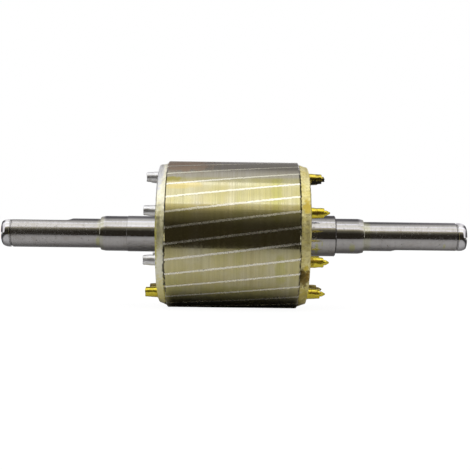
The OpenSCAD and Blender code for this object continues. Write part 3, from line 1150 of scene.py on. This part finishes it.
@dataclass
class Studio:
    """Pale floor, one large soft light overhead, a dark screen in front and the camera.

    A span holds the two places that a fade runs between. A step holds a start, an end and what
    comes after it.
    """

    distance: float = 0.85
    pixels_per_metre: float = 1162.0
    aim: Span = (0.0008, -0.00015)
    roll: float = np.radians(-0.70)
    clip: Span = (0.02, 100.0)
    floor_height: float = -62.6 * MM
    floor_run: Span = (-9.0, 30.0)
    floor_half_width: float = 24.0
    floor_tone: Colour = (0.79, 0.79, 0.78)
    floor_seen: Colour = (0.12, 0.12, 0.12)
    floor_glow: float = 0.94
    floor_far: Span = (0.35, 0.9)
    # Painted shade of the floor as the metal and bounced light see it: a contact shadow under the rotor and darker
    # steps across and along it.
    contact_across: Span = (0.020, 0.052)
    contact_along: Span = (0.050, 0.062)
    contact_dark: float = 0.08
    front_dark: float = 0.58
    floor_steps_across: tuple = ((-0.190, -0.070, 0.96), (-0.035, 0.030, 0.38))
    floor_steps_along: tuple = ((0.060, 0.100, 0.82), (0.245, 0.300, 0.08))
    light_height: float = 1.0
    light_front: float = -0.93
    light_back: float = -0.055
    light_half_width: float = 0.95
    light_edge: Colour = (1.48, 1.50, 1.85)
    light_steps: tuple = (
        (-0.87, -0.82, (1.28, 1.28, 1.30)),
        (-0.64, -0.50, (1.15, 1.14, 1.12)),
        (-0.20, -0.16, (1.42, 1.44, 1.62)),
    )
    screen_start: float = -0.19
    screen_back: float = -1.35
    screen_bend: float = 0.12
    screen_top: float = 1.55
    screen_half_width: float = 1.3
    screen_low: Colour = (0.0275, 0.0236, 0.0180)
    screen_steps: tuple = (
        (0.36, 0.66, (0.090, 0.084, 0.065)),
        (0.60, 0.94, (0.180, 0.168, 0.125)),
        (0.88, 1.36, (0.75, 0.70, 0.55)),
    )
    wall_tone: Colour = (0.98, 0.96, 1.02)
    wall_rise: Span = (0.20, 0.29)
    ceiling_rise: Span = (0.80, 0.97)
    beside: Span = (0.10, 0.32)
    corners: Span = (0.38, 0.60)
    ends: Span = (0.74, 0.92)
    behind: Span = (0.05, 0.30)

    def sheet_object(self, name: str, path: Array, half_width: float) -> bpy.types.Object:
        """Sheet of the stage: a path across Y and Z carried straight along X.

        Args:
            name: Name of the sheet.
            path: Y and Z of the path's points.
            half_width: Half of its width along X.

        Returns:
            The sheet.
        """
        x = np.array([-half_width, half_width])[None, :, None]
        points = np.concatenate([np.broadcast_to(x, (len(path), 2, 1)), np.repeat(path[:, None], 2, 1)], -1)
        rows = np.arange(len(path) - 1)[:, None] * 2
        mesh = bpy.data.meshes.new(name)
        mesh.from_pydata(points.reshape(-1, 3).tolist(), [], (rows + np.array([0, 1, 3, 2])).tolist())
        piece = bpy.data.objects.new(name, mesh)
        bpy.context.scene.collection.objects.link(piece)
        return piece

    @staticmethod
    def blank_material(name: str) -> tuple[Material, NodeSheet]:
        """New material with an empty node tree, and the sheet to draw in."""
        material = bpy.data.materials.new(name)
        material.use_nodes = True
        material.node_tree.nodes.clear()
        return material, NodeSheet(material.node_tree)

    def glow(self, name: str, axis: int, first: Colour, steps: tuple) -> Material:
        """Material that gives off light, with smooth steps in its colour along one axis.

        Args:
            name: Name of the material.
            axis: Number of the axis.
            first: Light before the first step.
            steps: Start and end of each step, and the light after it.

        Returns:
            The material.
        """
        material, sheet = self.blank_material(name)
        place = sheet.node("ShaderNodeSeparateXYZ", {0: sheet.coordinates()}).outputs[axis]
        colour: Given = first
        for low, high, value in steps:
            colour = sheet.blend(sheet.ease(place, low, high), colour, value)
        light = sheet.node("ShaderNodeEmission", {"Color": colour, "Strength": 1.0})
        sheet.node("ShaderNodeOutputMaterial", {"Surface": light.outputs[0]})
        return material

    def floor_material(self) -> Material:
        """Pale floor: painted shade for every ray but the camera's, white with a soft shadow to the camera, white
        far off in the metal.

        Its painted shade is the product of a painted contact shadow under the rotor and painted darkening steps
        across and along it.

        Returns:
            The material.
        """
        material, sheet = self.blank_material("pale_floor")
        path = sheet.node("ShaderNodeLightPath", {}).outputs
        at = sheet.coordinates()
        x, y, _ = sheet.node("ShaderNodeSeparateXYZ", {0: at}).outputs
        along, across = sheet.maths("ABSOLUTE", x), sheet.maths("ABSOLUTE", y)
        # Painted contact shadow under the rotor, then painted darkening steps in front, behind and to the sides.
        contact = sheet.ease(across, *self.contact_across, self.contact_dark, 1.0)
        contact = sheet.ease(along, *self.contact_along, contact, 1.0)
        fall = sheet.stepped(y, self.front_dark, self.floor_steps_across)
        beside = sheet.stepped(along, 1.0, self.floor_steps_along)
        shade = sheet.maths("MULTIPLY", contact, sheet.maths("MULTIPLY", fall, beside))
        away = sheet.node("ShaderNodeVectorMath", {0: at}, operation="LENGTH").outputs["Value"]
        mirrored = sheet.maths("MAXIMUM", path["Is Glossy Ray"], path["Is Transmission Ray"])
        far = sheet.maths("MULTIPLY", mirrored, sheet.ease(away, *self.floor_far))
        lift = sheet.maths("MAXIMUM", sheet.maths("MULTIPLY", path["Is Camera Ray"], self.floor_glow), far)
        seen = sheet.blend(shade, (0.0, 0.0, 0.0), self.floor_tone)
        tone = sheet.blend(path["Is Camera Ray"], seen, self.floor_seen)
        matt = sheet.node("ShaderNodeBsdfDiffuse", {"Color": tone}).outputs[0]
        white = sheet.node("ShaderNodeEmission", {"Color": (1, 1, 1), "Strength": lift}).outputs[0]
        both = sheet.node("ShaderNodeAddShader", {0: matt, 1: white})
        sheet.node("ShaderNodeOutputMaterial", {"Surface": both.outputs[0]})
        return material

    def build_floor(self) -> None:
        """Wide flat floor under the rotor."""
        path = np.array([(y, self.floor_height) for y in self.floor_run])
        floor = self.sheet_object("studio_floor", path, self.floor_half_width)
        floor.data.materials.append(self.floor_material())

    def build_light(self) -> None:
        """Large soft light overhead, which the camera doesn't see."""
        path = np.array([(self.light_back, self.light_height), (self.light_front, self.light_height)])
        card = self.sheet_object("studio_soft_light", path, self.light_half_width)
        glow = self.glow("soft_light", axis=1, first=self.light_edge, steps=self.light_steps)
        card.data.materials.append(glow)
        card.visible_camera = False

    def build_screen(self) -> None:
        """Dark screen that lies on the floor in front, bends up behind the camera and shows only in the metal."""
        turn = np.linspace(0, np.pi / 2, 9)
        back, bend, low = self.screen_back, self.screen_bend, self.floor_height + 1 * MM
        cove = np.stack([back + bend * (1 - np.sin(turn)), low + bend * (1 - np.cos(turn))], -1)
        path = np.concatenate([[(self.screen_start, low)], cove, [(back, self.screen_top)]])
        screen = self.sheet_object("studio_dark_screen", path, self.screen_half_width)
        glow = self.glow("dark_screen", axis=2, first=self.screen_low, steps=self.screen_steps)
        screen.data.materials.append(glow)
        screen.visible_camera = screen.visible_diffuse = False
        screen.visible_shadow = screen.visible_transmission = False

    def build_world(self) -> None:
        """White surroundings to the camera; to the light a white band low down, grey walls and a paler ceiling."""
        world = bpy.data.worlds.new("studio")
        world.use_nodes = True
        bpy.context.scene.world = world
        sheet = NodeSheet(world.node_tree)
        world.node_tree.nodes.clear()
        towards = sheet.node("ShaderNodeTexCoord", {}).outputs["Generated"]
        aside, back, rise = sheet.node("ShaderNodeSeparateXYZ", {0: towards}).outputs
        sideways = sheet.maths("ABSOLUTE", aside)
        wall = sheet.ease(rise, *self.wall_rise, 1.0, sheet.ease(sideways, *self.beside, 0.26, 1.0))
        wall = sheet.ease(sideways, *self.ends, wall, 0.12)
        wall = sheet.ease(back, *self.behind, wall, sheet.ease(sideways, *self.corners, wall, 0.10))
        ceiling = sheet.ease(rise, *self.ceiling_rise, wall, sheet.ease(sideways, *self.beside, 0.70, 1.15))
        camera = sheet.node("ShaderNodeLightPath", {}).outputs["Is Camera Ray"]
        strength = sheet.maths("MAXIMUM", camera, ceiling)
        plain = sheet.maths("MAXIMUM", camera, sheet.ease(rise, *self.ceiling_rise))
        tone = sheet.blend(plain, self.wall_tone, (1.0, 1.0, 1.0))
        light = sheet.node("ShaderNodeBackground", {"Color": tone, "Strength": strength})
        sheet.node("ShaderNodeOutputWorld", {"Surface": light.outputs[0]})

    def build_camera(self) -> None:
        """Camera level with the shaft and square to it, turned a little about its own line of sight."""
        data = bpy.data.cameras.new("camera")
        data.sensor_width = SENSOR
        data.lens = SENSOR * self.pixels_per_metre * self.distance / PIXELS
        data.clip_start, data.clip_end = self.clip
        camera = bpy.data.objects.new("camera", data)
        camera.location = (self.aim[0], -self.distance, self.aim[1])
        camera.rotation_euler = (np.pi / 2, self.roll, 0.0)
        bpy.context.scene.collection.objects.link(camera)
        bpy.context.scene.camera = camera

    def build(self) -> None:
        """Builds the whole studio and sets the plain view transform."""
        self.build_camera()
        self.build_world()
        self.build_floor()
        self.build_light()
        self.build_screen()
        bpy.context.scene.view_settings.view_transform = "Standard"
        LOG.info("studio is set up")


# ---------------------------------------------------------------- finishes of this rotor

BAR_FINISH = CastFinish(
    "bar_metal",
    metal=(0.99, 0.955, 0.78),
    patch=(0.97, 0.92, 0.68),
    grime=(0.66, 0.60, 0.36),
    roughness=0.22,
    grain=900.0,
    relief_depth=0.00005,
    pit_share=0.15,
    metallic=0.96,
    powder=0.32,
)
LEFT_RING_FINISH = CastFinish(
    "bare_casting",
    metal=(0.99, 0.965, 0.74),
    patch=(0.96, 0.925, 0.64),
    grime=(0.46, 0.42, 0.24),
    roughness=0.30,
    grain=420.0,
    patch_grain=110.0,
    relief_depth=0.0006,
    pit_share=0.2,
    speckle_share=0.1,
    metallic=0.95,
    powder=0.5,
    stains_and_painted_light=(
        # Painted reflection: neutral grey on the upper front of the outer fillet, where it reflects grey.
        ((-0.0625, -0.030, 0.050), (0.0045, 0.05, 0.026), (0.80, 0.81, 0.84), 0.8, 500.0),
        ((-0.0562, 0.0, -0.035), (0.0016, 0.2, 0.050), (0.03, 0.026, 0.014), 1.0, 230.0),
        ((-0.0600, -0.058, 0.006), (0.0075, 0.03, 0.023), (0.80, 0.74, 0.34), 0.6, 700.0),
        ((-0.0638, -0.055, -0.004), (0.0026, 0.03, 0.030), (0.72, 0.67, 0.14), 0.85, 500.0),
        ((-0.0600, -0.030, -0.050), (0.0080, 0.03, 0.026), (0.92, 0.83, 0.30), 0.75, 500.0),
    ),
)
RIGHT_RING_FINISH = CastFinish(
    "varnished_casting",
    metal=(0.95, 0.86, 0.42),
    patch=(0.78, 0.66, 0.14),
    grime=(0.34, 0.25, 0.06),
    roughness=0.36,
    grain=420.0,
    patch_grain=110.0,
    patch_share=0.6,
    relief_depth=0.0006,
    pit_share=0.6,
    speckle_share=0.3,
    metallic=0.78,
    stains_and_painted_light=(
        ((0.0538, 0.0, 0.0), (0.0009, 0.2, 0.2), (0.10, 0.08, 0.04), 0.8, 420.0),
        ((0.0552, -0.0510, -0.0310), (0.0030, 0.006, 0.0045), (0.10, 0.055, 0.02), 0.9, 500.0),
        ((0.0570, -0.0475, -0.0350), (0.0062, 0.014, 0.0095), (0.24, 0.17, 0.04), 0.95, 420.0),
        ((0.0600, -0.0500, -0.0330), (0.0022, 0.008, 0.0055), (0.36, 0.22, 0.03), 0.8, 500.0),
        ((0.0585, -0.0540, -0.0270), (0.0025, 0.006, 0.0035), (0.84, 0.68, 0.10), 0.8, 500.0),
        ((0.0590, -0.0540, 0.0230), (0.0050, 0.012, 0.0065), (0.86, 0.66, 0.09), 0.85, 300.0),
        ((0.0580, -0.0300, -0.0480), (0.0080, 0.020, 0.0130), (0.66, 0.56, 0.12), 0.7, 300.0),
    ),
)
SILVER_PEG = CastFinish(
    "bare_peg",
    metal=(0.92, 0.92, 0.91),
    patch=(0.76, 0.75, 0.72),
    grime=(0.34, 0.33, 0.30),
    roughness=0.31,
    grain=900.0,
    patch_grain=300.0,
    relief_depth=0.00012,
    metallic=0.9,
)
GOLD_PEG = CastFinish(
    "varnished_peg",
    metal=(0.92, 0.78, 0.08),
    patch=(0.70, 0.50, 0.02),
    grime=(0.24, 0.12, 0.01),
    roughness=0.16,
    patch_share=0.6,
    pit_share=0.5,
    metallic=0.87,
    stains_and_painted_light=(
        # Painted shade: dark brown lines along three front pegs near their middle height, and a dark band at one
        # peg's root.
        ((0.0668, -0.0530, 0.0184), (0.0060, 0.02, 0.0022), (0.20, 0.09, 0.015), 0.85, 800.0),
        ((0.0634, -0.0518, -0.0210), (0.0024, 0.02, 0.0050), (0.22, 0.12, 0.02), 0.75, 800.0),
        ((0.0685, -0.0518, -0.0203), (0.0055, 0.02, 0.0014), (0.26, 0.13, 0.02), 0.75, 800.0),
        ((0.0675, -0.0226, -0.0476), (0.0060, 0.02, 0.0017), (0.24, 0.12, 0.02), 0.8, 800.0),
    ),
)
STAINED_PEG = CastFinish(
    "stained_peg",
    metal=(0.84, 0.68, 0.10),
    patch=(0.26, 0.17, 0.04),
    grime=(0.16, 0.09, 0.02),
    roughness=0.18,
    patch_share=0.75,
    stains_and_painted_light=(
        ((0.0700, -0.0216, 0.0440), (0.0160, 0.02, 0.0044), (0.03, 0.027, 0.02), 1.0, 500.0),
        ((0.0755, -0.0216, 0.0474), (0.0035, 0.02, 0.0100), (0.05, 0.045, 0.04), 0.85, 600.0),
    ),
)
# Darker copy of the gold peg, for the pegs at the back: painted shade.
SHADED_BACK_PEG = CastFinish(
    "shaded_back_peg",
    metal=(0.42, 0.33, 0.10),
    patch=(0.15, 0.125, 0.07),
    grime=(0.05, 0.04, 0.03),
    roughness=0.20,
    patch_share=0.7,
    relief_depth=0.00015,
)


def main() -> None:
    """Builds the rotor's pieces in order, then the studio round them."""
    logging.basicConfig(level=logging.INFO, format="%(name)s: %(message)s")
    effects = Effects()
    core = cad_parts["laminated_core"]
    core.data.materials.clear()
    core.data.materials.append(LaminationFinish().material(effects))
    LOG.info("laminated_core keeps its solid, %d faces", len(core.data.polygons))
    RotorShaft().build(SteelFinish().material(effects))
    Cage().build(BAR_FINISH.material(effects))
    EndRing(Side.LEFT, face=-56.2 * MM, thickness=7.5 * MM).build(
        "left_cast_ring", "left_end_ring", LEFT_RING_FINISH.material(effects), Slot.CAST
    )
    EndRing(Side.RIGHT, face=53.8 * MM, thickness=8.5 * MM).build(
        "right_cast_ring", "right_end_ring", RIGHT_RING_FINISH.material(effects), Slot.VARNISHED
    )
    finishes = (SILVER_PEG, GOLD_PEG, STAINED_PEG, SHADED_BACK_PEG)
    silver, gold, stained, shaded_back = (finish.material(effects) for finish in finishes)
    left = BalancePegs(Side.LEFT, root=-63.7 * MM, length=10.0 * MM, start=np.radians(21.0), tip=False)
    # The sixth left peg, at the back below, takes the darker copy as painted shade.
    left.build("left_peg", "left_balance_pegs", [silver] * 5 + [shaded_back, gold, silver], Slot.CAST)
    right = BalancePegs(
        Side.RIGHT, root=62.3 * MM, length=10.5 * MM, start=np.radians(20.5), tip=True, broken=(1, 2.0 * MM)
    )
    # The third and sixth right pegs, at the back, take the darker copy as painted shade.
    tones = [gold, stained, shaded_back, gold, gold, shaded_back, gold, gold]
    right.build("right_peg", "right_balance_pegs", tones, Slot.VARNISHED)
    Studio().build()


if __name__ == "__main__":
    main()
